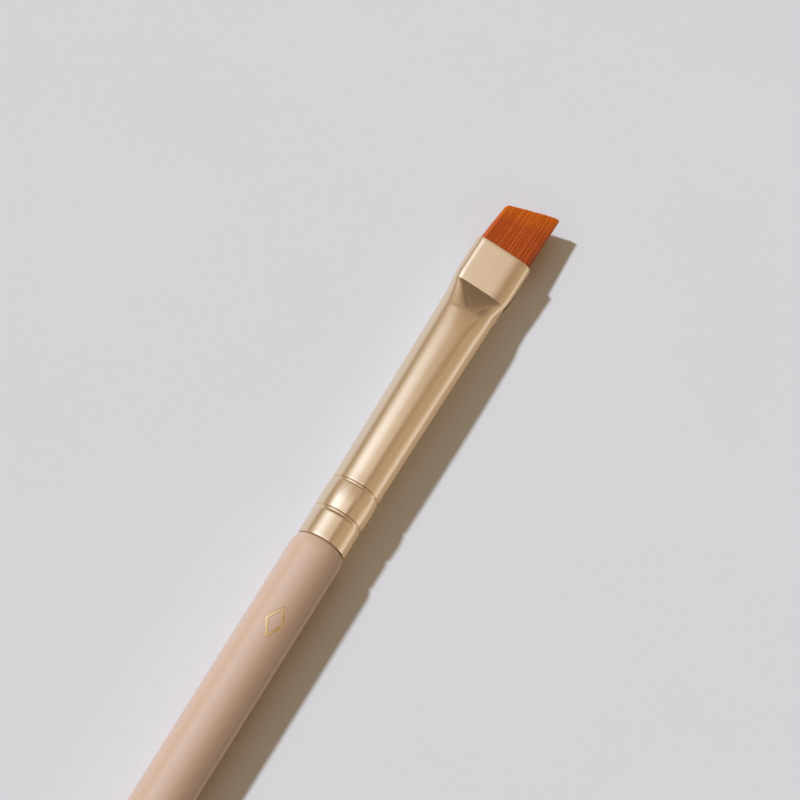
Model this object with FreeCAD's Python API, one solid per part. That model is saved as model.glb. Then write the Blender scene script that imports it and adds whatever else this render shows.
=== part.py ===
import FreeCAD, Part
import math
import os

# Flat eyeliner brush, lying on its side as it is laid down between uses.
# A turned wooden handle carries a thin drawn tube, the ferrule, which is rolled into two grooves over
# the handle's tenon and pressed flat at its other end. A slant-cut tuft of filaments stands in the flat
# mouth, and a plug of set resin inside the ferrule holds the filament roots.
# All sizes are millimetres. X runs along the brush towards the bristles, Z is up, and the origin is on
# the surface that the brush lies on, under the middle of its length.

# Handle
handle_length = 115.5       # from the tail to the ferrule's rear edge
handle_diameter = 6.6       # of the straight barrel
barrel_length = 52.0        # straight part, measured back from the shoulder
shoulder_length = 1.5       # rounding that brings the barrel down to the ferrule
tail_diameter = 4.4         # of the round end of the tail
tenon_length = 12.0         # reaches this far into the ferrule
tenon_chamfer = 0.6

# Ferrule, where it is round
ferrule_length = 42.0
ferrule_diameter = 6.2      # outside
ferrule_wall = 0.35
rear_edge_roll = 0.10       # bevel of the rear edge, which leaves a fine line at the handle
rear_band = 3.7             # from the rear edge to the first groove's centre
middle_band = 4.0           # between the centres of the two rolled grooves
middle_band_crown = 0.09    # how far the middle band swells past the round tube
groove_width = 0.44
groove_depth = 0.16
groove_flank = 0.08         # length of each sloping side of a groove, along the tube
round_run = 1.2             # round tube left in front of the second groove

# Ferrule, where it is pressed flat
mouth_width = 7.4           # outside, across the rounded sides
mouth_thickness = 3.38      # outside, over the two flats
press_thickness = 3.00      # the same at the press line, as the flats open a little towards the mouth
mouth_side_radius = 2.43    # outside radius of each rounded side
mouth_edge_radius = 1.00    # outside radius between a flat and a side
least_edge_radius = 0.08    # the same inside the tube, however thick its wall is
flat_length = 5.75          # from the press line to the mouth
settle_length = 1.3         # past the press line, over which the sides still widen
ramp_length = 3.4           # of the dimple, from the round tube's last top point to the press line
neck_width = 6.75           # outside width where the dimple begins
neck_height = 5.62          # outside height where the dimple begins
neck_swell = 0.125          # extra height half way to the neck, before the top comes down to it
widening_delay = 1.3        # above 1, the sides keep their width for longer past the neck
dimple_tip_angle = 6.0      # half angle of the dimple's narrow start, from the top
dimple_waist = 1.15         # above 1, the dimple's edges curve in towards its middle
dimple_sink = 1.15          # above 1, the dimple starts gently and is steepest at the press line
side_angle = 20.0           # half angle of the strip that becomes the mouth's side

# Tuft of filaments and the resin that holds it
tuft_long = 7.5             # past the mouth, on the long side
tuft_short = 5.4            # past the mouth, on the short side
tuft_tip_thickness = 0.9
tuft_side_taper = 0.25      # how far each edge comes in by the tip
tuft_lean = 0.15            # how far the tip sits towards the long side
tuft_corner = 0.30          # how far the two tip corners are rounded off
root_depth = 11.0           # length of filament inside the ferrule
lock_count = 21             # filaments lie together in fine locks across the width
lock_relief = 0.07          # depth of the valleys between locks
tip_ragged = 0.12           # how far neighbouring locks differ at the tip
resin_length = 4.5
glue_film = 0.03            # between two pieces that are set together

# Places along X, and the height of the brush's axis
overall_length = handle_length + ferrule_length + tuft_long
x_tip = overall_length / 2
x_mouth = x_tip - tuft_long
x_press = x_mouth - flat_length
x_settled = x_press + settle_length
x_neck = x_press - ramp_length
x_joint = x_mouth - ferrule_length
x_tail = x_joint - handle_length
x_groove_1 = x_joint + rear_band
x_groove_2 = x_groove_1 + middle_band
x_round_end = x_groove_2 + groove_width / 2 + round_run
x_shoulder = x_joint - shoulder_length
x_barrel_end = x_shoulder - barrel_length
x_root = x_mouth - root_depth
ferrule_radius = ferrule_diameter / 2
handle_radius = handle_diameter / 2
axis_height = max(handle_radius, ferrule_radius + middle_band_crown, mouth_thickness / 2)
fitted_inset = ferrule_wall + glue_film
neck_section_count = 4
ramp_section_count = 5
settle_section_count = 3
overrun = 1.0               # how far a cutting body runs past what it cuts


def point(x, y, z):
    """A point given from the brush's own axis."""
    return FreeCAD.Vector(x, y, axis_height + z)


def line(a, b):
    return Part.LineSegment(a, b).toShape()


def arc(a, middle, b):
    return Part.Arc(a, middle, b).toShape()


def arc_leaving_along_x(start, end):
    """Arc in the XZ plane that runs along X at its start and stops at its end."""
    run = end.x - start.x
    fall = start.z - end.z
    chord = run * run + fall * fall
    middle_fall = fall * run * run / (2 * (chord + math.sqrt(chord * chord - (fall * run) ** 2)))
    return arc(start, FreeCAD.Vector(start.x + run / 2, 0, start.z - middle_fall), end)


def smooth(share):
    """Eases a share in and out."""
    return share * share * (3 - 2 * share)


def blend(a, b, share):
    return a + (b - a) * share


def revolved(edges):
    """Turns a closed profile with one side on the axis into a solid about the brush's axis."""
    turned = Part.Face(Part.Wire(edges)).revolve(point(0, 0, 0), FreeCAD.Vector(1, 0, 0), 360)
    return turned if turned.ShapeType == "Solid" else Part.Solid(turned.Shells[0])


def groove_edges(x_centre, radius):
    """A rolled groove: two short flanks and a flat bottom."""
    half = groove_width / 2
    low_1 = point(x_centre - half + groove_flank, 0, radius - groove_depth)
    low_2 = point(x_centre + half - groove_flank, 0, radius - groove_depth)
    return [
        line(point(x_centre - half, 0, radius), low_1),
        line(low_1, low_2),
        line(low_2, point(x_centre + half, 0, radius)),
    ]


def rolled_edges(inset, x_start, x_end, crown=0.0):
    """Profile of the tube over its two rolled grooves, at a depth of inset under its outside."""
    radius = ferrule_radius - inset
    half = groove_width / 2
    x_middle = (x_groove_1 + x_groove_2) / 2
    band_start = point(x_groove_1 + half, 0, radius)
    band_end = point(x_groove_2 - half, 0, radius)
    band_top = point(x_middle, 0, radius + crown)
    return [
        line(point(x_start, 0, radius), point(x_groove_1 - half, 0, radius)),
        *groove_edges(x_groove_1, radius),
        arc(band_start, band_top, band_end) if crown else line(band_start, band_end),
        *groove_edges(x_groove_2, radius),
        line(point(x_groove_2 + half, 0, radius), point(x_end, 0, radius)),
    ]


def oval_quarter(width, height, inset):
    """Four points of a round or oval section, where it faces four set ways, and its top height."""
    a = width / 2 - inset
    b = height / 2 - inset
    start = dimple_tip_angle
    end = 90 - side_angle
    quarter = []
    for degrees in (start, (start + end) / 2, end, 90):
        out = a * math.sin(math.radians(degrees))
        up = b * math.cos(math.radians(degrees))
        reach = math.hypot(out, up)
        quarter.append((a * out / reach, b * up / reach))
    return quarter, b


def neck_quarter(x, inset):
    """Section where the round tube swells a little and slowly turns oval towards the neck."""
    share = (x - x_round_end) / (x_neck - x_round_end)
    width = blend(ferrule_diameter, neck_width, share)
    height = blend(ferrule_diameter, neck_height, share ** 3) + 4 * neck_swell * share * (1 - share)
    return oval_quarter(width, height, inset)


def pressed_quarter(x, inset):
    """The same points of the pressed section: the flat's end, the edge radius, and the rounded side."""
    half = blend(press_thickness, mouth_thickness, (x - x_press) / flat_length) / 2 - inset
    side = mouth_side_radius - inset
    edge = max(mouth_edge_radius - inset, least_edge_radius)
    centre = pressed_width(x) / 2 - mouth_side_radius
    z_edge = half - edge
    y_edge = centre + math.sqrt((side - edge) ** 2 - z_edge ** 2)
    lean = math.atan2(y_edge - centre, z_edge)
    quarter = [(y_edge + edge * math.sin(a), z_edge + edge * math.cos(a)) for a in (0, lean / 2, lean)]
    return [*quarter, (centre + side, 0.0)], half


def pressed_width(x):
    """Outside width from the neck to the mouth, which grows smoothly up to where the sides settle."""
    share = min(1.0, (x - x_neck) / (x_settled - x_neck))
    return blend(neck_width, mouth_width, smooth(share ** widening_delay))


def bulge(quarter):
    """How far the corner's middle point stands off its chord."""
    (y1, z1), (y2, z2), (y3, z3) = quarter[:3]
    return ((z1 - z3) * (y2 - y1) + (y3 - y1) * (z2 - z1)) / math.hypot(y3 - y1, z3 - z1)


def ramp_quarter(x, inset):
    """Section between the neck and the press line: the flat dimple widens and sinks between two shoulders."""
    t = (x - x_neck) / ramp_length
    neck, top = neck_quarter(x_neck, inset)
    if t <= 0:
        return neck, top
    press, press_top = pressed_quarter(x_press, inset)
    y1 = blend(neck[0][0], press[0][0], t ** dimple_waist)
    z1 = blend(neck[0][1], press_top, t ** dimple_sink)
    y3 = blend(neck[2][0], press[2][0], smooth(t))
    z3 = blend(neck[2][1], press[2][1], smooth(t))
    stand_off = blend(bulge(neck), bulge(press), smooth(t)) / math.hypot(y3 - y1, z3 - z1)
    middle = ((y1 + y3) / 2 + (z1 - z3) * stand_off, (z1 + z3) / 2 + (y3 - y1) * stand_off)
    return [(y1, z1), middle, (y3, z3), (pressed_width(x) / 2 - inset, 0.0)], z1


def half_side(shoulder, y_side):
    """Middle of the arc from a shoulder to the widest point of its side."""
    y, z = shoulder
    radius = ((y_side - y) ** 2 + z ** 2) / (2 * (y_side - y))
    turn = math.asin(z / radius) / 2
    return y_side - radius * (1 - math.cos(turn)), radius * math.sin(turn)


def section(x, quarter_and_top):
    """Mirrors a quarter into a closed section of ten edges, so that any two sections can be joined."""
    (ridge, corner, shoulder, side), top = quarter_and_top
    flat = math.isclose(top, ridge[1])
    down = [(ridge, corner, shoulder), (shoulder, half_side(shoulder, side[0]), side)]
    up = [tuple((y, -z) for y, z in reversed(edge)) for edge in reversed(down)]
    right = [*down, *up]
    left = [tuple((-y, -z) for y, z in edge) for edge in right]
    over = ((-ridge[0], ridge[1]), (0, top), ridge)
    under = tuple((-y, -z) for y, z in over)
    edges = []
    for edge in [over, *right, under, *left]:
        start, middle, end = [point(x, y, z) for y, z in edge]
        edges.append(line(start, end) if flat and edge in (over, under) else arc(start, middle, end))
    return Part.Wire(edges)


def steps(start, end, count):
    return [blend(start, end, index / (count - 1)) for index in range(count)]


def tube_body(inset, x_start, x_end, crown=0.0):
    """Solid under the ferrule at a depth of inset: grooved tube, swelling neck, dimples and flat mouth."""
    radius = ferrule_radius - inset
    rolled = revolved([
        line(point(x_start, 0, 0), point(x_start, 0, radius)),
        *rolled_edges(inset, x_start, x_round_end, crown),
        line(point(x_round_end, 0, radius), point(x_round_end, 0, 0)),
        line(point(x_round_end, 0, 0), point(x_start, 0, 0)),
    ])
    neck = [section(x, neck_quarter(x, inset)) for x in steps(x_round_end, x_neck, neck_section_count)]
    ramp = [section(x, ramp_quarter(x, inset)) for x in steps(x_neck, x_press, ramp_section_count)]
    settle = [section(x, pressed_quarter(x, inset)) for x in steps(x_press, x_settled, settle_section_count)]
    flats = [section(x, pressed_quarter(x, inset)) for x in (x_settled, x_end)]
    return rolled.fuse([
        Part.makeLoft(neck, True, True),
        Part.makeLoft(ramp, True, False),
        Part.makeLoft(settle, True, True),
        Part.makeLoft(flats, True, True),
    ])


def slab(x_start, x_end):
    """A block wider than the brush, used to keep one stretch of a body."""
    reach = mouth_width + handle_diameter
    return Part.makeBox(x_end - x_start, 2 * reach, 2 * reach, point(x_start, -reach, -reach))


def rear_edge_ring():
    """What the bevelled rear edge leaves out of the tube's square end."""
    sharp = point(x_joint, 0, ferrule_radius)
    low = point(x_joint, 0, ferrule_radius - rear_edge_roll)
    front = point(x_joint + rear_edge_roll, 0, ferrule_radius)
    return revolved([line(low, front), line(front, sharp), line(sharp, low)])


def make_ferrule():
    outside = tube_body(0.0, x_joint, x_mouth, middle_band_crown)
    inside = tube_body(ferrule_wall, x_joint - overrun, x_mouth + overrun)
    return outside.cut([inside, rear_edge_ring()])


def tail_edges():
    """Round end of the tail and the straight taper up to the barrel, tangent to it."""
    tail = tail_diameter / 2
    x_round = x_tail + tail
    lean = math.asin((handle_radius - tail) / (x_barrel_end - x_round))
    on_round = lambda angle: point(x_round - tail * math.cos(angle), 0, tail * math.sin(angle))
    round_end = on_round(math.pi / 2 - lean)
    barrel_start = point(x_barrel_end, 0, handle_radius)
    return [
        arc(on_round(0), on_round(math.pi / 4), round_end),
        line(round_end, barrel_start),
        line(barrel_start, point(x_shoulder, 0, handle_radius)),
    ]


def make_handle():
    """Round tail, taper, straight barrel and shoulder, and the tenon that the grooves are rolled into."""
    lip = ferrule_radius - rear_edge_roll
    tenon = ferrule_radius - fitted_inset
    x_tenon_end = x_joint + tenon_length
    x_chamfer = x_tenon_end - tenon_chamfer
    return revolved([
        *tail_edges(),
        arc_leaving_along_x(point(x_shoulder, 0, handle_radius), point(x_joint, 0, lip)),
        line(point(x_joint, 0, lip), point(x_joint, 0, tenon)),
        *rolled_edges(fitted_inset, x_joint, x_chamfer),
        line(point(x_chamfer, 0, tenon), point(x_tenon_end, 0, tenon - tenon_chamfer)),
        line(point(x_tenon_end, 0, tenon - tenon_chamfer), point(x_tenon_end, 0, 0)),
        line(point(x_tenon_end, 0, 0), point(x_tail, 0, 0)),
    ])


def make_resin_plug():
    """Set resin behind the filament roots, moulded by the inside of the ferrule."""
    return tube_body(fitted_inset, x_joint, x_mouth).common(slab(x_root - resin_length, x_root))


def blade_body(half_width):
    """The tuft outside the ferrule before it is cut: as deep as the mouth, then thinning to the tip."""
    half = tuft_tip_thickness / 2
    centre = half_width - tuft_side_taper - half
    turns = [math.radians(degrees) for degrees in (0, 30, 60, 90)]
    round_side = [(centre + half * math.sin(turn), half * math.cos(turn)) for turn in turns]
    base = section(x_mouth, pressed_quarter(x_mouth, fitted_inset))
    tip = section(x_tip, (round_side, half)).translated(FreeCAD.Vector(0, -tuft_lean, 0))
    return Part.makeLoft([base, tip], True, True)


def ridged_block(side, half_width, z_root):
    """What lies under one broad face of the tuft, which is ridged by the locks and slopes to the tip."""
    pitch = 2 * half_width / lock_count
    deep = 2 * mouth_thickness
    ridge = [point(x_mouth, -half_width, z_root - lock_relief)]
    for index in range(lock_count):
        ridge.append(point(x_mouth, -half_width + (index + 0.5) * pitch, z_root))
        ridge.append(point(x_mouth, -half_width + (index + 1) * pitch, z_root - lock_relief))
    outline = [*ridge, point(x_mouth, half_width, -deep), point(x_mouth, -half_width, -deep), ridge[0]]
    fall = tuft_tip_thickness / 2 - z_root
    block = Part.Face(Part.makePolygon(outline)).extrude(FreeCAD.Vector(tuft_long, 0, fall))
    return block if side > 0 else block.mirror(point(0, 0, 0), FreeCAD.Vector(0, 0, 1))


def slant_block(half_width):
    """Plan of the tuft past the mouth: the slant cut, with slightly uneven locks and rounded corners."""
    pitch = 2 * half_width / lock_count
    slant = (tuft_long - tuft_short) / (2 * half_width)
    cut = []
    for index in range(lock_count + 1):
        y = -half_width + index * pitch
        locks_from_side = (half_width - abs(y)) / pitch
        corner = tuft_corner * max(0.0, 1 - locks_from_side / 2) ** 2
        cut.append((-slant * (y + half_width) - corner - tip_ragged * (index % 3) / 2, y))
    longest = max(reach for reach, y in cut)
    outline = [point(x_mouth, half_width, 0), point(x_mouth, -half_width, 0)]
    outline.extend(point(x_tip + reach - longest, y, 0) for reach, y in cut)
    outline.append(outline[0])
    block = Part.Face(Part.makePolygon(outline)).extrude(FreeCAD.Vector(0, 0, 2 * mouth_thickness))
    return block.translated(FreeCAD.Vector(0, 0, -mouth_thickness))


def make_bristle_tuft():
    """Roots that fill the ferrule's flat end, and the slant-cut blade that stands out of its mouth."""
    quarter, z_root = pressed_quarter(x_mouth, fitted_inset)
    half_width = quarter[3][0]
    roots = tube_body(fitted_inset, x_joint, x_mouth).common(slab(x_root, x_mouth))
    blade = blade_body(half_width).common(slant_block(half_width))
    for side in (1, -1):
        blade = blade.common(ridged_block(side, half_width, z_root))
    return roots.fuse(blade).removeSplitter()


def write_node(name, shape):
    box = shape.optimalBoundingBox(False)
    print(
        f"{name}: {len(shape.Solids)} solid, valid {shape.isValid()}, {len(shape.Faces)} faces, "
        f"{shape.Volume:.2f} mm3, x {box.XMin:.2f} to {box.XMax:.2f}, "
        f"y {box.YMin:.2f} to {box.YMax:.2f}, z {box.ZMin:.2f} to {box.ZMax:.2f}"
    )
    solids = shape.Solids
    node = solids[0] if len(solids) == 1 else Part.makeCompound(solids)
    node.exportStep(os.path.join("parts", name + ".step"))


os.makedirs("parts", exist_ok=True)
write_node("handle", make_handle())
write_node("ferrule", make_ferrule())
write_node("resin_plug", make_resin_plug())
write_node("bristle_tuft", make_bristle_tuft())
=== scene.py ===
import math

import bpy
import numpy as np
from mathutils import Matrix, Vector


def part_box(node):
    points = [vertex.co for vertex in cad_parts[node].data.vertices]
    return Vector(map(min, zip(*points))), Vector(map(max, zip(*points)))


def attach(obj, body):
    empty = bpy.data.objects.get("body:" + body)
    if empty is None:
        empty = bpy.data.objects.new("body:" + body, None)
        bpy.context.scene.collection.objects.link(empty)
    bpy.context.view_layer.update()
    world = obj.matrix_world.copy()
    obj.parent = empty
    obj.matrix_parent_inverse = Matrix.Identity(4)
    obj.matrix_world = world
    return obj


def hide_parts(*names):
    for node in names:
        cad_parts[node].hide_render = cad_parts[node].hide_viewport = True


# Flat eyeliner brush lying on its side: a turned wooden handle in gloss beige lacquer, a rolled and
# pressed ferrule in pale gold, and a slant-cut tuft of orange-brown synthetic filaments.
# Lengths are metres. X runs along the brush towards the bristles, and Z is up.

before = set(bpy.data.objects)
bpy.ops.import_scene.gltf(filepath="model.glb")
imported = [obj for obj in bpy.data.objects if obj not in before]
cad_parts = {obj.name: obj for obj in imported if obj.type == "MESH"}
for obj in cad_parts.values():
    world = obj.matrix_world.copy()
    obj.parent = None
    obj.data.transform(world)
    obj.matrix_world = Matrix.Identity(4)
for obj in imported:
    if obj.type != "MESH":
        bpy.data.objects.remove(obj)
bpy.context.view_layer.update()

MM = 0.001

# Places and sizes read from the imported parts
handle_low, handle_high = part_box("handle")
ferrule_low, ferrule_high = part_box("ferrule")
tuft_low, tuft_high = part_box("bristle_tuft")
x_tail = handle_low.x
x_tenon_end = handle_high.x
x_joint = ferrule_low.x
x_mouth = ferrule_high.x
x_root = tuft_low.x
x_tip = tuft_high.x
handle_radius = (handle_high.z - handle_low.z) / 2
axis_height = (handle_high.z + handle_low.z) / 2
mouth_width = ferrule_high.y - ferrule_low.y

# Handle
tail_radius = 2.2 * MM
barrel_length = 52.0 * MM
shoulder_length = 1.5 * MM
joint_slot = 0.16 * MM          # open line between the shoulder and the ferrule's rear edge
slot_depth = 0.2 * MM           # down to the glue squeezed out of the joint
shoulder_edge = 0.06 * MM       # rounding of the shoulder's last edge
tenon_chamfer = 0.6 * MM

# Ferrule
tube_radius = 3.1 * MM
wall = 0.35 * MM
glue_film = 0.03 * MM
edge_roll = 0.10 * MM           # rounding of the rear edge
lip_roll = 0.07 * MM            # rounding of the mouth's lip, inside and outside
rear_band = 3.7 * MM
middle_band = 4.0 * MM
middle_band_crown = 0.09 * MM
groove_width = 0.37 * MM
groove_depth = 0.16 * MM
groove_flank = 0.09 * MM
round_run = 1.2 * MM
mouth_thickness = 3.38 * MM
press_thickness = 3.00 * MM     # at the press line, as the flats open a little towards the mouth
mouth_side_radius = 2.43 * MM
# The flats' long and short side differ: the radius between a flat and the side, how far the flat falls off
# before it, its slope there, and where the dimple's narrow end begins, from the top. Angles are in degrees
long_side_edge = {"radius": 1.5 * MM, "fall": 0.23 * MM, "slope": 16.0, "dimple_start": 12.0}
short_side_edge = {"radius": 1.0 * MM, "fall": 0.07 * MM, "slope": 5.0, "dimple_start": 3.0}
least_edge_radius = 0.08 * MM   # inside the tube, however thick its wall is
flat_length = 5.75 * MM
settle_length = 1.3 * MM
ramp_length = 3.4 * MM
neck_width = 6.75 * MM
neck_height = 5.62 * MM
neck_swell = 0.125 * MM         # extra height half way to the neck, before the top comes down to it
dimple_sink = 1.6               # above 1, the dimple starts gently and is steepest at the press line
dimple_lead = 0.20 * MM         # how far the dimple's narrow end has sunk before its ramp starts
lead_length = 3.0 * MM
widening_delay = 1.3            # above 1, the sides keep their width for longer past the neck
side_angle = 20.0               # half angle of the strip that becomes the mouth's side
crown_start = 6.0               # on the round tube, where the crown ends, in degrees from the top
crown_power = 2.0               # of the curve from the top to there

x_groove_1 = x_joint + rear_band
x_groove_2 = x_groove_1 + middle_band
x_round_end = x_groove_2 + groove_width / 2 + round_run
x_press = x_mouth - flat_length
x_settled = x_press + settle_length
x_neck = x_press - ramp_length
x_shoulder = x_joint - shoulder_length
x_barrel_end = x_shoulder - barrel_length
fitted_inset = wall + glue_film

# Tuft
tip_spare = 0.08 * MM           # the slant cut starts this far past the tip, and its corner is rounded off
tuft_long = x_tip - x_mouth + tip_spare
tuft_short = 5.4 * MM
tuft_half_width = mouth_width / 2 - fitted_inset
tuft_half_thickness = mouth_thickness / 2 - fitted_inset
tip_half_thickness = 0.45 * MM
tip_width_share = 0.945         # of the width at the mouth
tip_lean = -0.34 * MM           # the tip leans towards the long side
tip_dome = 0.08 * MM            # how far the slant cut swells in its middle
tip_corner = 0.22 * MM          # how far the tip's two corners are rounded off
tip_ragged = 0.16 * MM          # how unevenly the filaments end
lock_drift = 0.015 * MM         # how far neighbouring filaments lean together into locks
lock_width = 1.11 * MM
corner_sharpness = 36.0         # power of the curve that rounds the tip's corners off
foot_share = (0.0, 0.82, 0.72)  # of a filament's place in the mouth, at its foot in the resin
filament_diameter = 0.12 * MM
filament_spacing = 0.08 * MM
most_filaments = 4e8            # to a square metre, which is more than the spacing leaves room for
thinning_start = 0.75           # share of a filament's length, from which it thins towards its tip
tip_thinness = 0.4              # share of its thickness that is left at the tip
place_seed = 7
ragged_seed = 5
tint_seed = 3

# Foil ornament: a plain lozenge on top of the barrel
ornament_centre = 21.6 * MM
ornament_length = 4.4 * MM
ornament_width = 2.6 * MM
ornament_line = 0.36 * MM
foil_thickness = 0.01 * MM
foil_lift = 0.003 * MM          # over the lacquer

# How finely the meshes are divided
round_count = 160               # points round a round section
crown_count = 10                # points of a pressed section's crown, edge arc and side arc
edge_count = 24
side_count = 16
foil_count = 96                 # points round the lozenge
foil_strips = 5                 # strips across its line, so that it follows the barrel
filament_points = 9             # along a filament
filament_sides = 4
slope_step = 0.01               # share of the ramp, over which the neck's own slope is measured

# Main light, from the brush's +Y side and square to its length
key_colour = (0.775, 0.850, 0.990)
key_power = 2.95
key_spread = math.radians(3.6)
key_elevation = math.radians(44.5)

# Room and lamps, as linear red, green and blue. Each light has edges on the axes of a direction: outer,
# inner, inner and outer. An open side lies past every direction. A negative light darkens what is there
open_low = (-3.0, -2.0)
open_high = (2.0, 3.0)
upper_half = (-0.03, 0.05, *open_high)
well_above = (0.0, 0.16, *open_high)
window_reach = (-0.5, -0.1, 0.25, 0.37)
rear_reach = (-0.3, 0.0, 0.3, 0.335)
backdrop_colour = (0.66, 0.66, 0.68, 1.0)

# What gloss and metal show: the board under the brush, and over it the room and its lamps
board_shaded = (0.51, 0.45, 0.38)
reflected_lights = {
    "board_lit_by_lamps": (
        (0.22, 0.29, 0.43), {"Z": (*open_low, -0.3, 0.05), "Y": (-0.2, 0.2, *open_high)},
    ),
    "shadow_near_brush": (
        (-0.03, -0.06, -0.085), {"Z": (*open_low, -0.5, -0.1), "Y": (*open_low, -0.1, 0.1)},
    ),
    "shadow_close_under_edge": (
        (-0.28, -0.25, -0.20), {"Z": (*open_low, -0.92, -0.7), "Y": (*open_low, -0.1, 0.0)},
    ),
    "dark_room": ((-0.31, -0.295, -0.25), {"Z": upper_half}),
    "room_overhead": ((0.32, 0.275, 0.19), {"Z": well_above, "X": (-0.45, 0.10, 0.52, 0.85)}),
    "gap_beside_window": (
        (-0.21, -0.19, -0.15),
        {"Z": upper_half, "X": (0.31, 0.42, 0.5, 0.65), "Y": (-0.60, -0.52, -0.44, -0.36)},
    ),
    "glow_past_lamp": (
        (0.23, 0.28, 0.40), {"Z": upper_half, "X": (-0.2, 0.2, 0.34, 0.56), "Y": (0.05, 0.55, 0.74, 0.95)},
    ),
    "window": ((0.41, 0.475, 0.61), {"Z": upper_half, "X": window_reach, "Y": (-0.32, -0.08, 0.85, 0.95)}),
    "lamp": ((0.30, 0.49, 0.70), {"Z": upper_half, "X": window_reach, "Y": (0.2, 0.70, 0.76, 0.93)}),
    "board_past_shadow": (
        (0.42, 0.46, 0.52), {"Z": (-0.23, -0.13, 0.08, 0.14), "Y": (*open_low, -0.3, 0.0)},
    ),
    "gap_at_rear": (
        (-0.18, -0.18, -0.16), {"Z": upper_half, "X": rear_reach, "Y": (-0.52, -0.40, -0.32, -0.2)},
    ),
    "low_card_at_rear": (
        (0.26, 0.27, 0.27), {"Z": (0.02, 0.14, 0.26, 0.38), "X": rear_reach, "Y": (*open_low, -0.3, 0.0)},
    ),
    "board_below_left_edge": (
        (0.16, 0.17, 0.20), {"Z": (*open_low, -0.97, -0.90), "Y": (0.0, 0.15, *open_high)},
    ),
}

# What lights matt surfaces besides the main light
matt_room = (0.20, 0.132, 0.067)
matt_lights = {
    "soft_lamps": (
        (0.29, 0.35, 0.32), {"Z": (0.45, 0.65, *open_high), "Y": (-0.05, 0.25, *open_high)},
    ),
    "low_warm_bounce": (
        (0.20, 0.09, 0.02), {"Z": (-0.1, 0.0, 0.25, 0.5), "Y": (*open_low, -0.6, -0.3)},
    ),
}

# Camera: above and behind the ferrule, turned so that the brush runs up the picture
camera_azimuth = math.radians(171.685)
camera_elevation = math.radians(70.852)
camera_roll = math.radians(40.937)
camera_distance = 0.6
camera_target = Vector((53.041 * MM, 1.197 * MM, axis_height))
camera_lens = 234.02            # in millimetres, as the camera has it, and so is the sensor
camera_sensor = 36.0
camera_nearest = 0.01
camera_farthest = 20.0

# Places of sockets in Mix and Random Value nodes, which use a name more than once
mix_share = 0
mix_first = 6
mix_second = 7
mixed_colour = 2
random_least = 2
random_most = 3
random_number = 1

# Most of a noise texture's values lie between these two
noise_low = 0.3
noise_high = 0.7


def linear(hex_colour):
    """An sRGB hex colour as linear red, green, blue and alpha."""
    channels = [int(hex_colour[place:place + 2], 16) / 255 for place in (1, 3, 5)]
    return [c / 12.92 if c <= 0.04045 else ((c + 0.055) / 1.055) ** 2.4 for c in channels] + [1.0]


def add_node(tree, kind, settings=None, inputs=None):
    """Adds a node, sets its properties, and gives each input a value or another node's output."""
    node = tree.nodes.new(kind)
    for name, value in (settings or {}).items():
        setattr(node, name, value)
    for name, value in (inputs or {}).items():
        if isinstance(value, bpy.types.NodeSocket):
            tree.links.new(value, node.inputs[name])
        else:
            node.inputs[name].default_value = value
    return node


# Meshes


def blend(a, b, share):
    return a + (b - a) * share


def smooth(share):
    return share * share * (3 - 2 * share)


def spread(start, end, count):
    """Evenly spaced places from start to end, without the end itself."""
    return [blend(start, end, index / count) for index in range(count)]


def skin(name, rings, closed=False):
    """A mesh over rings of points that run the same way. A ring of one point closes an end to a pole."""
    vertices = []
    starts = []
    for ring in rings:
        starts.append(len(vertices))
        vertices.extend(ring)
    faces = []
    pairs = list(zip(range(len(rings) - 1), range(1, len(rings))))
    if closed:
        pairs.append((len(rings) - 1, 0))
    for first, second in pairs:
        around = max(len(rings[first]), len(rings[second]))
        for index in range(around):
            following = (index + 1) % around
            corners = []
            corners.append(starts[first] + index % len(rings[first]))
            corners.append(starts[second] + index % len(rings[second]))
            corners.append(starts[second] + following % len(rings[second]))
            corners.append(starts[first] + following % len(rings[first]))
            faces.append(list(dict.fromkeys(corners)))
    mesh = bpy.data.meshes.new(name)
    mesh.from_pydata(vertices, [], faces)
    mesh.shade_smooth()
    piece = bpy.data.objects.new(name, mesh)
    bpy.context.scene.collection.objects.link(piece)
    return piece


def circle_ring(x, radius):
    """Points of a round section. They start at the top and go round by way of +Y."""
    if radius <= 0:
        return [(x, 0.0, axis_height)]
    turns = spread(0, 2 * math.pi, round_count)
    return [(x, radius * math.sin(turn), axis_height + radius * math.cos(turn)) for turn in turns]


def groove_drop(x, x_centre):
    """How deep a rolled groove is at one place: soft flanks and a flat bottom."""
    away = abs(x - x_centre)
    share = (groove_width / 2 - away) / groove_flank
    return groove_depth * smooth(min(1.0, max(0.0, share)))


def rolled_radius(x, inset):
    """Radius of the rolled tube, with its two grooves and the swelled band between them."""
    radius = tube_radius - inset - groove_drop(x, x_groove_1) - groove_drop(x, x_groove_2)
    middle = (x_groove_1 + x_groove_2) / 2
    share = (x - middle) / (middle_band / 2 - groove_width / 2)
    return radius + middle_band_crown * max(0.0, 1 - share * share)


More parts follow.
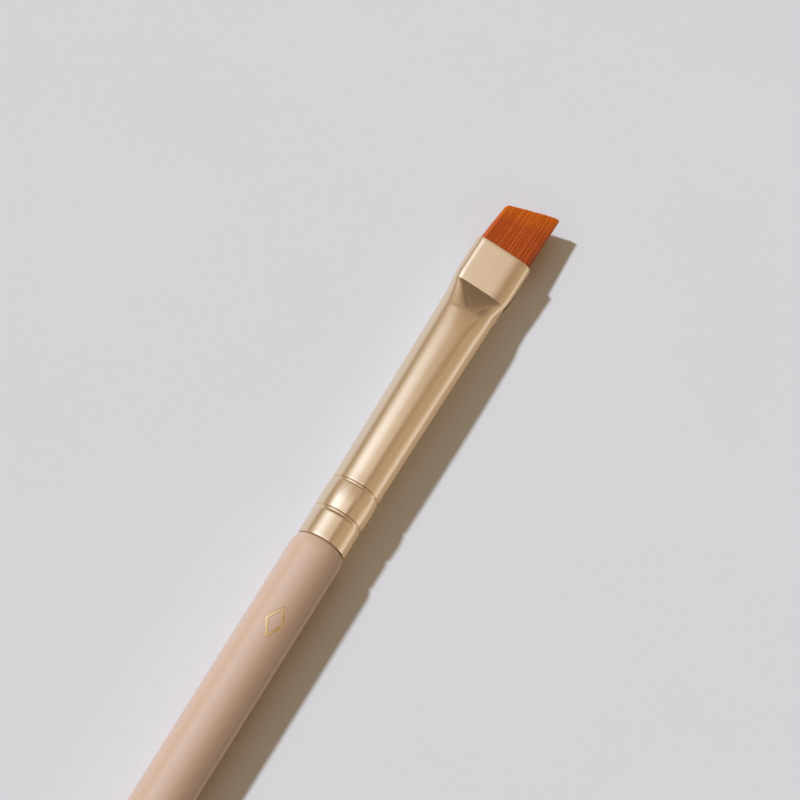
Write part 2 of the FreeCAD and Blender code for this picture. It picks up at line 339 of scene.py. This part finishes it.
def handle_profile():
    """Places and radii from the tail's pole to the end of the tenon."""
    x_round = x_tail + tail_radius
    lean = math.asin((handle_radius - tail_radius) / (x_barrel_end - x_round))
    profile = []
    for turn in spread(0, math.pi / 2 - lean, 24):
        profile.append((x_round - tail_radius * math.cos(turn), tail_radius * math.sin(turn)))
    round_end = (x_round - tail_radius * math.sin(lean), tail_radius * math.cos(lean))
    for share in spread(0, 1, 16):
        radius = blend(round_end[1], handle_radius, share)
        profile.append((blend(round_end[0], x_barrel_end, share), radius))
    for x in spread(x_barrel_end, x_shoulder, 16):
        profile.append((x, handle_radius))
    x_edge = x_joint - joint_slot - shoulder_edge
    lip = tube_radius - edge_roll / 2
    for share in spread(0, 1, 24):
        profile.append((blend(x_shoulder, x_edge, share), blend(handle_radius, lip, share * share)))
    for turn in spread(0, math.pi / 2, 5):
        away = shoulder_edge * math.sin(turn)
        profile.append((x_edge + away, lip - shoulder_edge * (1 - math.cos(turn))))
    profile.append((x_edge + shoulder_edge, lip - shoulder_edge))
    profile.append((x_edge + shoulder_edge, tube_radius - slot_depth))
    profile.append((x_joint - glue_film, tube_radius - slot_depth))
    profile.append((x_joint - glue_film, rolled_radius(x_joint, fitted_inset)))
    for x in spread(x_joint, x_tenon_end - tenon_chamfer, 120):
        profile.append((x, rolled_radius(x, fitted_inset)))
    tenon = rolled_radius(x_tenon_end, fitted_inset)
    profile.append((x_tenon_end - tenon_chamfer, tenon))
    profile.append((x_tenon_end, tenon - tenon_chamfer))
    profile.append((x_tenon_end, 0.0))
    return profile


def oval_side(width, height, inset, start):
    """One side of a round or oval section: its crown's power, and five points from its top down the side."""
    a = width / 2 - inset
    b = height / 2 - inset
    points = [(0.0, b)]
    for degrees in (start, (start + 90 - side_angle) / 2, 90 - side_angle, 90):
        out = a * math.sin(math.radians(degrees))
        up = b * math.cos(math.radians(degrees))
        points.append((a * out / math.hypot(out, up), b * up / math.hypot(out, up)))
    return crown_power, np.array(points)


def pressed_side(x, inset, edge):
    """The same of the pressed section: a flat that falls off softly, an edge radius and a rounded side."""
    start = math.radians(edge["slope"])
    open_share = max(0.0, x - x_press) / flat_length
    half = blend(press_thickness, mouth_thickness, open_share) / 2 - inset
    side = mouth_side_radius - inset
    inner = max(edge["radius"] - inset, least_edge_radius)
    centre = pressed_width(x) / 2 - mouth_side_radius
    z_edge = half - edge["fall"] - inner * math.cos(start)
    y_edge = centre + math.sqrt((side - inner) ** 2 - z_edge ** 2)
    lean = math.atan2(y_edge - centre, z_edge)
    points = [(0.0, half)]
    for turn in (start, (start + lean) / 2, lean):
        points.append((y_edge + inner * math.sin(turn), z_edge + inner * math.cos(turn)))
    points.append((centre + side, 0.0))
    power = math.tan(start) * points[1][0] / edge["fall"]
    return power, np.array(points)


def pressed_width(x):
    """Outside width from the neck to the mouth."""
    share = min(1.0, (x - x_neck) / (x_settled - x_neck))
    return blend(neck_width, mouth_width, smooth(share ** widening_delay))


def neck_side(x, inset, edge):
    """One side of the section where the round tube swells a little and slowly turns oval."""
    share = (x - x_round_end) / (x_neck - x_round_end)
    width = blend(2 * tube_radius, neck_width, share)
    height = blend(2 * tube_radius, neck_height, share ** 3) + 4 * neck_swell * share * (1 - share)
    power, points = oval_side(width, height, inset, edge["dimple_start"])
    led = max(0.0, 1 - (x_neck - x) / lead_length)
    points[:2, 1] -= dimple_lead * led * led
    return power, points


def bulge(points):
    """How far a side's third point stands off the line from the second to the fourth."""
    (y1, z1), (y2, z2), (y3, z3) = points[1:4]
    return ((z1 - z3) * (y2 - y1) + (y3 - y1) * (z2 - z1)) / math.hypot(y3 - y1, z3 - z1)


def ramp_side(x, inset, edge):
    """One side of the section where the dimple widens and sinks, which goes on smoothly from the neck's."""
    share = (x - x_neck) / ramp_length
    power, neck = neck_side(x_neck, inset, edge)
    slope = (neck - neck_side(x_neck - ramp_length * slope_step, inset, edge)[1]) / slope_step
    press_power, press = pressed_side(x, inset, edge)
    points = neck + slope * share + (press - neck - slope) * smooth(share)
    z_top = neck[0][1] + slope[0][1] * share + (press - neck - slope)[0][1] * share ** dimple_sink
    z_ridge = z_top - blend(neck[0][1] - neck[1][1], press[0][1] - press[1][1], smooth(share))
    points[0] = (0.0, z_top)
    points[1] = (blend(neck[1][0], press[1][0], smooth(share)), z_ridge)
    (y1, z1), (y3, z3) = points[1], points[3]
    stand_off = blend(bulge(neck), bulge(press), smooth(share)) / math.hypot(y3 - y1, z3 - z1)
    points[2] = ((y1 + y3) / 2 + (z1 - z3) * stand_off, (z1 + z3) / 2 + (y3 - y1) * stand_off)
    return blend(power, press_power, smooth(share)), points


def arc_points(start, middle, end, count):
    """Points along the circle through three points, without the last one."""
    a, b, c = complex(*start), complex(*middle), complex(*end)
    ratio = (c - a) / (b - a)
    nearly_straight = 1e-7
    if abs(ratio.imag) < nearly_straight:
        return [(place.real, place.imag) for place in spread(a, c, count)]
    centre = (c - a) * (ratio - abs(ratio) ** 2) / (2j * ratio.imag) / ratio + a
    swept = np.angle((b - centre) / (a - centre)) + np.angle((c - centre) / (b - centre))
    points = []
    for turn in spread(0, swept, count):
        place = centre + (a - centre) * complex(math.cos(turn), math.sin(turn))
        points.append((place.real, place.imag))
    return points


def side_points(form):
    """Points down one side of a section, from its top to its widest place."""
    power, (top, p1, p2, p3, p4) = form
    crown = [(p1[0] * share, blend(top[1], p1[1], share ** power)) for share in spread(0, 1, crown_count)]
    side = arc_points(p3, p4, (p3[0], -p3[1]), side_count)
    return [*crown, *arc_points(p1, p2, p3, edge_count), *side[:side_count // 2 + 1]]


def section_ring(x, left_form, right_form):
    """A whole section from its two sides, each mirrored below. It starts at the top, towards +Y."""
    left = side_points(left_form)
    right = side_points(right_form)
    ring = list(left)
    ring += [(y, -z) for y, z in left[-2::-1]]
    ring += [(-y, -z) for y, z in right[1:]]
    ring += [(-y, z) for y, z in right[-2:0:-1]]
    return [(x, y, axis_height + z) for y, z in ring]


def ferrule_ring(x, inset):
    """Section of the tube at one place, at a depth of inset under its outside. Its long side is at -Y."""
    if x <= x_round_end:
        diameter = 2 * (rolled_radius(x, inset) + inset)
        form = oval_side(diameter, diameter, inset, crown_start)
        return section_ring(x, form, form)
    if x <= x_neck:
        side_at = neck_side
    elif x < x_press:
        side_at = ramp_side
    else:
        side_at = pressed_side
    return section_ring(x, side_at(x, inset, short_side_edge), side_at(x, inset, long_side_edge))


def outside_places():
    """Places of the outside's sections, close together where the form turns sharply."""
    half = groove_width / 2
    first_in, first_out = x_groove_1 - half, x_groove_1 + half
    second_in, second_out = x_groove_2 - half, x_groove_2 + half
    near_press = 0.12 * MM
    return [
        *spread(x_joint + edge_roll, first_in, 10),
        *spread(first_in, first_out, 22),
        *spread(first_out, second_in, 30),
        *spread(second_in, second_out, 22),
        *spread(second_out, x_round_end, 5),
        *spread(x_round_end, x_neck, 40),
        *spread(x_neck, x_press - near_press, 56),
        *spread(x_press - near_press, x_press + near_press, 8),
        *spread(x_press + near_press, x_settled, 18),
        *spread(x_settled, x_mouth - lip_roll, 14),
    ]


def ferrule_rings():
    """Rear edge, outside, mouth lip and inside, as one closed skin."""
    rings = []
    quarter_turn = spread(0, math.pi / 2, 6)
    for turn in quarter_turn:
        inset = edge_roll * (1 - math.sin(turn))
        rings.append(ferrule_ring(x_joint + edge_roll * (1 - math.cos(turn)), inset))
    rings.extend(ferrule_ring(x, 0.0) for x in outside_places())
    for turn in quarter_turn:
        inset = lip_roll * (1 - math.cos(turn))
        rings.append(ferrule_ring(x_mouth - lip_roll * (1 - math.sin(turn)), inset))
    for turn in quarter_turn:
        inset = wall - lip_roll * (1 - math.sin(turn))
        rings.append(ferrule_ring(x_mouth - lip_roll * (1 - math.cos(turn)), inset))
    inner_places = [place for place in outside_places()[::3] if place < x_mouth - 2 * lip_roll]
    rings.extend(ferrule_ring(x, wall) for x in reversed(inner_places))
    rings.append(ferrule_ring(x_joint, wall))
    return rings


def make_handle():
    rings = [circle_ring(x, radius) for x, radius in handle_profile()]
    return skin("lacquered_handle", rings)


def make_ferrule():
    return skin("gold_ferrule", ferrule_rings(), closed=True)


# Foil ornament


def barrel_point(along, across, lift):
    """A point on the barrel, given along it and around it from its top."""
    turn = across / handle_radius
    radius = handle_radius + lift
    return (ornament_centre + along, radius * math.sin(turn), axis_height + radius * math.cos(turn))


def lozenge_point(turn, length, width):
    """A point on a lozenge's outline, a share of a turn round it."""
    side = int(turn * 4) % 4
    corners = [(length / 2, 0.0), (0.0, width / 2), (-length / 2, 0.0), (0.0, -width / 2)]
    share = turn * 4 - int(turn * 4)
    start, end = corners[side], corners[(side + 1) % 4]
    return blend(start[0], end[0], share), blend(start[1], end[1], share)


def make_foil():
    """A lozenge's outline, stamped into the lacquer."""
    turns = spread(0, 1, foil_count)
    side_length = math.hypot(ornament_length, ornament_width)
    inner_length = ornament_length - 2 * ornament_line * side_length / ornament_width
    inner_width = ornament_width - 2 * ornament_line * side_length / ornament_length
    outer = [lozenge_point(turn, ornament_length, ornament_width) for turn in turns]
    inner = [lozenge_point(turn, inner_length, inner_width) for turn in turns]
    rings = [[barrel_point(x, y, -foil_thickness) for x, y in outer]]
    for share in [*spread(0, 1, foil_strips), 1]:
        line = [(blend(a[0], b[0], share), blend(a[1], b[1], share)) for a, b in zip(outer, inner)]
        rings.append([barrel_point(x, y, foil_lift) for x, y in line])
    rings.append([barrel_point(x, y, -foil_thickness) for x, y in inner])
    return skin("foil_ornament", rings, closed=True)


# Tuft


def mouth_sheet():
    """The inside of the mouth as one flat face, on which the filaments stand."""
    ring = ferrule_ring(x_mouth, fitted_inset)
    mesh = bpy.data.meshes.new("filament_tuft")
    mesh.from_pydata(ring, [], [list(range(len(ring)))])
    piece = bpy.data.objects.new("filament_tuft", mesh)
    bpy.context.scene.collection.objects.link(piece)
    return piece


def tuft_tree(material):
    """Sets tapered filaments closely over the mouth and runs each from its foot to the slant-cut tip."""
    tree = bpy.data.node_groups.new("lay_filaments", "GeometryNodeTree")
    lengths = (
        "Spacing", "Diameter", "Half width", "Long side", "Short side", "Dome", "Corner", "Ragged", "Drift",
    )
    places = ("Foot share", "Foot place", "Tip share", "Tip place")
    tree.interface.new_socket("Mouth", in_out="INPUT", socket_type="NodeSocketGeometry")
    for names, kind in ((lengths, "NodeSocketFloat"), (places, "NodeSocketVector")):
        for name in names:
            tree.interface.new_socket(name, in_out="INPUT", socket_type=kind)
    tree.interface.new_socket("Tuft", in_out="OUTPUT", socket_type="NodeSocketGeometry")
    given = add_node(tree, "NodeGroupInput").outputs
    position = add_node(tree, "GeometryNodeInputPosition").outputs[0]

    # Where each filament ends: its place in the mouth, drawn in a little, and the slant cut
    across = add_node(tree, "ShaderNodeSeparateXYZ", None, {"Vector": position}).outputs["Y"]
    side = add_node(
        tree, "ShaderNodeMath", {"operation": "DIVIDE"}, {0: across, 1: given["Half width"]},
    ).outputs[0]
    slant = add_node(
        tree, "ShaderNodeMapRange", None,
        {"Value": side, "From Min": -1.0, "To Min": given["Long side"], "To Max": given["Short side"]},
    ).outputs[0]
    even = add_node(tree, "ShaderNodeMath", {"operation": "ABSOLUTE"}, {0: side}).outputs[0]
    bow = add_node(tree, "ShaderNodeMath", {"operation": "POWER"}, {0: even, 1: 2.0}).outputs[0]
    bow = add_node(tree, "ShaderNodeMath", {"operation": "SUBTRACT"}, {0: 1.0, 1: bow}).outputs[0]
    uneven = add_node(
        tree, "FunctionNodeRandomValue", None, {random_least: -1.0, random_most: 0.0, "Seed": ragged_seed},
    ).outputs[random_number]
    reach = slant
    for amount, size in ((bow, "Dome"), (uneven, "Ragged")):
        reach = add_node(
            tree, "ShaderNodeMath", {"operation": "MULTIPLY_ADD"}, {0: amount, 1: given[size], 2: reach},
        ).outputs[0]
    corner = add_node(
        tree, "ShaderNodeMath", {"operation": "POWER"}, {0: even, 1: corner_sharpness},
    ).outputs[0]
    corner = add_node(
        tree, "ShaderNodeMath", {"operation": "MULTIPLY"}, {0: corner, 1: given["Corner"]},
    ).outputs[0]
    reach = add_node(tree, "ShaderNodeMath", {"operation": "SUBTRACT"}, {0: reach, 1: corner}).outputs[0]

    # Neighbours drift the same way, which parts the tuft into locks
    locks = add_node(
        tree, "ShaderNodeTexNoise", None,
        {"Vector": position, "Scale": 1 / lock_width, "Detail": 3.0, "Roughness": 0.7},
    ).outputs["Fac"]
    drift = add_node(
        tree, "ShaderNodeMapRange", None,
        {"Value": locks, "From Min": noise_low, "From Max": noise_high, "To Min": -1.0},
    ).outputs[0]
    drift = add_node(
        tree, "ShaderNodeMath", {"operation": "MULTIPLY"}, {0: drift, 1: given["Drift"]},
    ).outputs[0]
    offset = add_node(tree, "ShaderNodeCombineXYZ", None, {"X": reach, "Y": drift}).outputs[0]
    offset = add_node(
        tree, "ShaderNodeVectorMath", {"operation": "ADD"}, {0: offset, 1: given["Tip place"]},
    ).outputs[0]
    tip = add_node(
        tree, "ShaderNodeVectorMath", {"operation": "MULTIPLY_ADD"},
        {0: position, 1: given["Tip share"], 2: offset},
    ).outputs[0]
    foot = add_node(
        tree, "ShaderNodeVectorMath", {"operation": "MULTIPLY_ADD"},
        {0: position, 1: given["Foot share"], 2: given["Foot place"]},
    ).outputs[0]

    # The filaments' places, each with its ends and a tint of its own
    laid = add_node(
        tree, "GeometryNodeDistributePointsOnFaces", {"distribute_method": "POISSON"},
        {
            "Mesh": given["Mouth"],
            "Distance Min": given["Spacing"],
            "Density Max": most_filaments,
            "Seed": place_seed,
        },
    ).outputs["Points"]
    tint = add_node(tree, "FunctionNodeRandomValue", None, {"Seed": tint_seed}).outputs[random_number]
    for name, kind, what in (
        ("root", "FLOAT_VECTOR", position), ("foot", "FLOAT_VECTOR", foot), ("tip", "FLOAT_VECTOR", tip),
        ("tint", "FLOAT", tint),
    ):
        laid = add_node(
            tree, "GeometryNodeStoreNamedAttribute", {"data_type": kind},
            {"Geometry": laid, "Name": name, "Value": what},
        ).outputs[0]

    # One filament, from -1 at its foot to 1 at its tip until it is laid, which thins towards its tip
    line = add_node(
        tree, "GeometryNodeCurvePrimitiveLine", None, {"Start": (-1, 0, 0), "End": (1, 0, 0)},
    ).outputs[0]
    line = add_node(
        tree, "GeometryNodeResampleCurve", None, {"Curve": line, "Count": filament_points},
    ).outputs[0]
    radius = add_node(
        tree, "ShaderNodeMath", {"operation": "DIVIDE"}, {0: given["Diameter"], 1: 2.0},
    ).outputs[0]
    outline = add_node(
        tree, "GeometryNodeCurvePrimitiveCircle", None, {"Resolution": filament_sides, "Radius": radius},
    ).outputs[0]
    done = add_node(tree, "GeometryNodeSplineParameter").outputs["Factor"]
    thinning = add_node(
        tree, "ShaderNodeMapRange", None,
        {"Value": done, "From Min": thinning_start, "To Min": 1.0, "To Max": tip_thinness},
    ).outputs[0]
    filament = add_node(
        tree, "GeometryNodeCurveToMesh", None,
        {"Curve": line, "Profile Curve": outline, "Scale": thinning, "Fill Caps": True},
    ).outputs[0]
    along = add_node(tree, "ShaderNodeSeparateXYZ", None, {"Vector": position}).outputs["X"]
    filament = add_node(
        tree, "GeometryNodeStoreNamedAttribute", {"data_type": "FLOAT"},
        {"Geometry": filament, "Name": "along", "Value": along},
    ).outputs[0]
    laid = add_node(
        tree, "GeometryNodeInstanceOnPoints", None, {"Points": laid, "Instance": filament},
    ).outputs[0]
    laid = add_node(tree, "GeometryNodeRealizeInstances", None, {"Geometry": laid}).outputs[0]

    # Each filament's own thickness stays, while its length is drawn out from the foot to the tip
    stored = {}
    for name, kind in (
        ("root", "FLOAT_VECTOR"), ("foot", "FLOAT_VECTOR"), ("tip", "FLOAT_VECTOR"), ("along", "FLOAT"),
    ):
        stored[name] = add_node(
            tree, "GeometryNodeInputNamedAttribute", {"data_type": kind}, {"Name": name},
        ).outputs[0]
    middle = add_node(tree, "ShaderNodeCombineXYZ", None, {"X": stored["along"]}).outputs[0]
    middle = add_node(
        tree, "ShaderNodeVectorMath", {"operation": "ADD"}, {0: middle, 1: stored["root"]},
    ).outputs[0]
    place = add_node(
        tree, "ShaderNodeVectorMath", {"operation": "SUBTRACT"}, {0: position, 1: middle},
    ).outputs[0]
    place = add_node(
        tree, "ShaderNodeVectorMath", {"operation": "ADD"}, {0: place, 1: stored["root"]},
    ).outputs[0]
    for end, full in (("foot", -1.0), ("tip", 1.0)):
        way = add_node(
            tree, "ShaderNodeVectorMath", {"operation": "SUBTRACT"}, {0: stored[end], 1: stored["root"]},
        ).outputs[0]
        share = add_node(
            tree, "ShaderNodeMapRange", None, {"Value": stored["along"], "From Min": 0.0, "From Max": full},
        ).outputs[0]
        way = add_node(
            tree, "ShaderNodeVectorMath", {"operation": "SCALE"}, {0: way, "Scale": share},
        ).outputs[0]
        place = add_node(tree, "ShaderNodeVectorMath", {"operation": "ADD"}, {0: place, 1: way}).outputs[0]
    laid = add_node(tree, "GeometryNodeSetPosition", None, {"Geometry": laid, "Position": place}).outputs[0]
    laid = add_node(
        tree, "GeometryNodeSetShadeSmooth", None, {"Geometry": laid, "Shade Smooth": True},
    ).outputs[0]
    laid = add_node(
        tree, "GeometryNodeSetMaterial", None, {"Geometry": laid, "Material": material},
    ).outputs[0]
    add_node(tree, "NodeGroupOutput", None, {"Tuft": laid})
    return tree


def make_tuft(material):
    """The tuft as one plain mesh, from the filaments laid over the mouth."""
    tip_thickness_share = (tip_half_thickness - filament_diameter / 2) / tuft_half_thickness
    piece = mouth_sheet()
    modifier = piece.modifiers.new("filaments", "NODES")
    tree = tuft_tree(material)
    modifier.node_group = tree
    sizes = {
        "Spacing": filament_spacing,
        "Diameter": filament_diameter,
        "Half width": tuft_half_width,
        "Long side": tuft_long,
        "Short side": tuft_short,
        "Dome": tip_dome,
        "Corner": tip_corner,
        "Ragged": tip_ragged,
        "Drift": lock_drift,
        "Foot share": foot_share,
        "Foot place": (x_root, 0.0, axis_height * (1 - foot_share[2])),
        "Tip share": (0.0, tip_width_share, tip_thickness_share),
        "Tip place": (x_mouth, tip_lean, axis_height * (1 - tip_thickness_share)),
    }
    for socket in tree.interface.items_tree:
        if socket.name in sizes:
            modifier[socket.identifier] = sizes[socket.name]
    graph = bpy.context.evaluated_depsgraph_get()
    mesh = bpy.data.meshes.new_from_object(piece.evaluated_get(graph))
    piece.modifiers.clear()
    piece.data = mesh
    return piece


# Materials


def new_material(name, constants):
    """A material whose surface has the given constants, with its node tree and that surface."""
    material = bpy.data.materials.new(name)
    material.use_nodes = True
    tree = material.node_tree
    tree.nodes.clear()
    surface = add_node(tree, "ShaderNodeBsdfPrincipled", None, constants)
    add_node(tree, "ShaderNodeOutputMaterial", None, {"Surface": surface.outputs[0]})
    return material, tree, surface


def clouded_colour(tree, place, cloud_width, detail, first, second):
    """A colour that drifts between two, in soft clouds of a given width."""
    cloud = add_node(
        tree, "ShaderNodeTexNoise", None, {"Vector": place, "Scale": 1 / cloud_width, "Detail": detail},
    ).outputs["Fac"]
    return add_node(
        tree, "ShaderNodeMix", {"data_type": "RGBA"},
        {mix_share: cloud, mix_first: linear(first), mix_second: linear(second)},
    ).outputs[mixed_colour]


def gloss_lacquer():
    """Beige nitro lacquer sprayed on turned beech: an even gloss with faint orange peel."""
    cloud_width = 11.1 * MM
    peel_width = 0.714 * MM
    material, tree, surface = new_material(
        "gloss_lacquer_on_beech",
        {"Roughness": 0.2, "IOR": 1.5, "Coat Weight": 0.6, "Coat Roughness": 0.12},
    )
    place = add_node(tree, "ShaderNodeTexCoord").outputs["Object"]
    colour = clouded_colour(tree, place, cloud_width, 2.0, "#CEAC92", "#D2B097")
    tree.links.new(colour, surface.inputs["Base Color"])
    peel = add_node(
        tree, "ShaderNodeTexNoise", None, {"Vector": place, "Scale": 1 / peel_width, "Detail": 1.0},
    ).outputs["Fac"]
    bump = add_node(
        tree, "ShaderNodeBump", None, {"Strength": 0.02, "Distance": 0.02 * MM, "Height": peel},
    ).outputs[0]
    tree.links.new(bump, surface.inputs["Normal"])
    return material


def satin_gold():
    """Pale gold anodised aluminium, drawn and polished: bright with faint lengthwise draw lines."""
    line_width = 0.25 * MM          # coarser than the real ones, which are too fine to show
    line_length = 16.7 * MM
    smoothest = 0.20
    roughest = 0.26
    material, tree, surface = new_material(
        "satin_gold_anodised_aluminium", {"Base Color": linear("#F3DBBC"), "Metallic": 1.0},
    )
    place = add_node(tree, "ShaderNodeTexCoord").outputs["Object"]
    drawn = add_node(
        tree, "ShaderNodeMapping", None,
        {"Vector": place, "Scale": (1 / line_length, 1 / line_width, 1 / line_width)},
    ).outputs[0]
    lines = add_node(
        tree, "ShaderNodeTexNoise", None, {"Vector": drawn, "Scale": 1.0, "Detail": 2.0},
    ).outputs["Fac"]
    rough = add_node(
        tree, "ShaderNodeMapRange", None,
        {
            "Value": lines,
            "From Min": noise_low,
            "From Max": noise_high,
            "To Min": smoothest,
            "To Max": roughest,
        },
    ).outputs[0]
    tree.links.new(rough, surface.inputs["Roughness"])
    bump = add_node(
        tree, "ShaderNodeBump", None, {"Strength": 0.04, "Distance": 0.01 * MM, "Height": lines},
    ).outputs[0]
    tree.links.new(bump, surface.inputs["Normal"])
    return material


def gold_foil():
    """Hot-stamped gold foil: thin bright metal that shows small differences in pressure."""
    grain_width = 0.4 * MM
    material, tree, surface = new_material("hot_stamped_gold_foil", {"Metallic": 1.0, "Roughness": 0.3})
    place = add_node(tree, "ShaderNodeTexCoord").outputs["Object"]
    colour = clouded_colour(tree, place, grain_width, 2.0, "#E6C690", "#F4D8A8")
    tree.links.new(colour, surface.inputs["Base Color"])
    return material


def dyed_filament():
    """Dyed synthetic filament: glossy fine hairs, deeper at the ferrule, and lighter at the tip, where
    painted light stands in for light shining through the thin ends.
    """
    painted_glow_start = 0.58             # share of the way from the mouth to the tip, where the painted glow of light through the tips begins
    material, tree, surface = new_material("dyed_synthetic_filament", {"Roughness": 0.4, "IOR": 1.53})
    tint = add_node(tree, "ShaderNodeAttribute", {"attribute_name": "tint"}).outputs["Fac"]
    along = add_node(tree, "ShaderNodeAttribute", {"attribute_name": "along"}).outputs["Fac"]
    body = add_node(
        tree, "ShaderNodeMix", {"data_type": "RGBA"},
        {mix_share: tint, mix_first: linear("#C0541C"), mix_second: linear("#CC6026")},
    ).outputs[mixed_colour]
    # Painted light: the lighter colour towards the tip stands in for light shining through the thin filament
    # ends
    painted_tip_glow = add_node(
        tree, "ShaderNodeMapRange", None, {"Value": along, "From Min": painted_glow_start, "From Max": 1.0},
    ).outputs[0]
    colour = add_node(
        tree, "ShaderNodeMix", {"data_type": "RGBA"},
        {mix_share: painted_tip_glow, mix_first: body, mix_second: linear("#F0801E")},
    ).outputs[mixed_colour]
    tree.links.new(colour, surface.inputs["Base Color"])
    return material


def set_resin():
    """Clear amber epoxy, cast round the filament roots: smooth and a little cloudy."""
    cloud_width = 1.67 * MM
    material, tree, surface = new_material("cast_amber_epoxy", {"Roughness": 0.15, "IOR": 1.55})
    place = add_node(tree, "ShaderNodeTexCoord").outputs["Object"]
    colour = clouded_colour(tree, place, cloud_width, 3.0, "#8A5A24", "#B98A44")
    tree.links.new(colour, surface.inputs["Base Color"])
    return material


def matt_floor():
    """Matt pale board under the brush: even, with the faintest cloud of paper fibre."""
    cloud_width = 25.0 * MM
    material, tree, surface = new_material(
        "matt_pale_board", {"Roughness": 0.9, "Specular IOR Level": 0.1},
    )
    place = add_node(tree, "ShaderNodeTexCoord").outputs["Object"]
    colour = clouded_colour(tree, place, cloud_width, 4.0, "#E9E9EA", "#EBEBEC")
    tree.links.new(colour, surface.inputs["Base Color"])
    return material


# Studio


def make_floor():
    """A wide board at the height on which the brush lies."""
    reach = 3.0
    corners = [(-reach, -reach, 0.0), (reach, -reach, 0.0), (reach, reach, 0.0), (-reach, reach, 0.0)]
    mesh = bpy.data.meshes.new("studio_floor")
    mesh.from_pydata(corners, [], [(0, 1, 2, 3)])
    mesh.materials.append(matt_floor())
    floor = bpy.data.objects.new("studio_floor", mesh)
    floor.visible_glossy = False        # the studio light shows an even board in its place
    bpy.context.scene.collection.objects.link(floor)
    return floor


def make_key_light():
    light = bpy.data.lights.new("key_light", "SUN")
    light.angle = key_spread
    light.color = key_colour
    light.energy = key_power
    sun = bpy.data.objects.new("key_light", light)
    bpy.context.scene.collection.objects.link(sun)
    towards = Vector((0.0, math.cos(key_elevation), math.sin(key_elevation)))
    sun.rotation_euler = towards.to_track_quat("Z", "Y").to_euler()
    sun.visible_glossy = False


def add_lights(tree, parts, lights, below):
    """Adds soft-edged lights, each from its own part of the room, to the light below them."""
    for name, (colour, edges) in lights.items():
        share = 1.0
        for axis, (start, full, fading, end) in edges.items():
            for zero, one in ((start, full), (end, fading)):
                edge = add_node(
                    tree, "ShaderNodeMapRange", {"interpolation_type": "SMOOTHSTEP"},
                    {"Value": parts[axis], "From Min": zero, "From Max": one},
                ).outputs[0]
                share = add_node(
                    tree, "ShaderNodeMath", {"operation": "MULTIPLY"}, {0: share, 1: edge},
                ).outputs[0]
        lit = add_node(
            tree, "ShaderNodeVectorMath", {"operation": "SCALE"}, {0: colour, "Scale": share},
        ).outputs[0]
        below = add_node(
            tree, "ShaderNodeVectorMath", {"operation": "ADD", "label": name}, {0: below, 1: lit},
        ).outputs[0]
    return below


def make_world():
    """Warm room light for matt surfaces, and the board, room and lamps that show in gloss and metal."""
    world = bpy.data.worlds.new("studio_light")
    world.use_nodes = True
    tree = world.node_tree
    tree.nodes.clear()
    direction = add_node(tree, "ShaderNodeTexCoord").outputs["Generated"]
    parts = add_node(tree, "ShaderNodeSeparateXYZ", None, {"Vector": direction}).outputs
    rays = add_node(tree, "ShaderNodeLightPath").outputs
    shown = add_lights(tree, parts, reflected_lights, board_shaded)
    soft = add_lights(tree, parts, matt_lights, matt_room)
    shown = add_node(tree, "ShaderNodeBackground", None, {"Color": shown}).outputs[0]
    soft = add_node(tree, "ShaderNodeBackground", None, {"Color": soft}).outputs[0]
    backdrop = add_node(tree, "ShaderNodeBackground", None, {"Color": backdrop_colour}).outputs[0]
    light = add_node(
        tree, "ShaderNodeMixShader", None, {0: rays["Is Glossy Ray"], 1: soft, 2: shown},
    ).outputs[0]
    light = add_node(
        tree, "ShaderNodeMixShader", None, {0: rays["Is Camera Ray"], 1: light, 2: backdrop},
    ).outputs[0]
    add_node(tree, "ShaderNodeOutputWorld", None, {"Surface": light})
    bpy.context.scene.world = world


def make_camera():
    """Sets the camera's own axes from its azimuth, elevation and roll, and looks at its target."""
    back = Vector((
        math.cos(camera_elevation) * math.cos(camera_azimuth),
        math.cos(camera_elevation) * math.sin(camera_azimuth),
        math.sin(camera_elevation),
    ))
    level = Vector((-math.sin(camera_azimuth), math.cos(camera_azimuth), 0.0))
    upright = back.cross(level)
    right = level * math.cos(camera_roll) + upright * math.sin(camera_roll)
    top = upright * math.cos(camera_roll) - level * math.sin(camera_roll)
    data = bpy.data.cameras.new("camera")
    data.sensor_width = camera_sensor
    data.lens = camera_lens
    data.clip_start = camera_nearest
    data.clip_end = camera_farthest
    camera = bpy.data.objects.new("camera", data)
    bpy.context.scene.collection.objects.link(camera)
    turned = Matrix((right, top, back)).transposed().to_4x4()
    camera.matrix_world = Matrix.Translation(camera_target + back * camera_distance) @ turned
    bpy.context.scene.camera = camera


def dress(piece, material, node):
    """Gives a finished piece its material and its place in the frame."""
    piece.data.materials.clear()
    piece.data.materials.append(material)
    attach(piece, "root")
    if node:
        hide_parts(node)


dress(make_handle(), gloss_lacquer(), "handle")
dress(make_ferrule(), satin_gold(), "ferrule")
dress(make_foil(), gold_foil(), None)
bristle = dyed_filament()
dress(make_tuft(bristle), bristle, "bristle_tuft")
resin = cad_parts["resin_plug"]
resin.data.materials.clear()
resin.data.materials.append(set_resin())

bpy.context.scene.view_settings.view_transform = "Standard"
make_floor()
make_key_light()
make_world()
make_camera()
